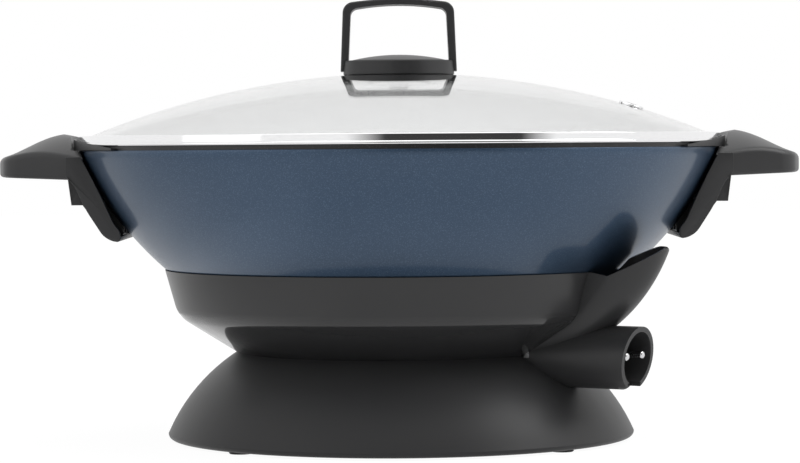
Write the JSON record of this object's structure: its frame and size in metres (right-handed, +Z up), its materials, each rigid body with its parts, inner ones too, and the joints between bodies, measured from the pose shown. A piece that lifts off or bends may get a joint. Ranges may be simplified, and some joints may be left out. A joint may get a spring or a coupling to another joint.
{
  "type": "electric wok",
  "caption": "Electric wok: enamelled bowl on a flared foot with side handles, plug-in control socket and lift-off domed glass lid with a loop handle.",
  "frame": {"origin": "centre of the circle that the wok stands on, at table height", "axes": "+Z up; +X through the right-hand side handle; -Y is the front, with the control socket between the front and +X"},
  "size_m": [0.4708, 0.3798, 0.2593],
  "materials": {
    "pan_enamel": "cast aluminium with metallic fleck enamel, satin gloss; dark non-stick coating inside",
    "skirt_black": "black painted sheet, satin",
    "foot_black": "black moulded resin, satin",
    "handle_black": "black moulded resin, fine satin",
    "lid_glass": "clear toughened glass",
    "lid_steel": "polished stainless steel",
    "plain_steel": "bright steel",
    "element_steel": "heat-dulled steel sheath",
    "ceramic": "white ceramic bead",
    "insulator": "black phenolic plate, matt",
    "insert_brass": "turned brass",
    "foot_rubber": "black rubber",
    "silicone": "dark silicone"
  },
  "bodies": {
    "wok": {"wok_pan": "pan_enamel", "heating_element": "element_steel", "element_end_seals": "ceramic", "terminal_pins": "plain_steel", "sensor_guide": "plain_steel", "heat_skirt": "skirt_black", "skirt_screws": "plain_steel", "probe_housing": "handle_black", "probe_housing_clips": "plain_steel", "socket_back_plate": "insulator", "earth_contact": "plain_steel", "foot_shell": "foot_black", "foot_screws": "plain_steel", "rubber_feet": "foot_rubber", "handle_right": "handle_black", "handle_left": "handle_black", "handle_screw_right": "plain_steel", "handle_screw_left": "plain_steel"},
    "lid": {"lid_glass": "lid_glass", "lid_rim_band": "lid_steel", "steam_vent_eyelet": "lid_steel", "steam_vent_ring": "lid_steel", "lid_handle_loop": "handle_black", "lid_handle_disc": "handle_black", "lid_handle_insert": "insert_brass", "lid_handle_gaskets": "silicone", "lid_handle_washer": "lid_steel", "lid_handle_screw": "plain_steel"}
  },
  "joints": [
    {"name": "lid_lift", "type": "slide", "parent": "wok", "child": "lid", "axis": [0, 0, 1], "range_m": [0, 0.3]}
  ]
}
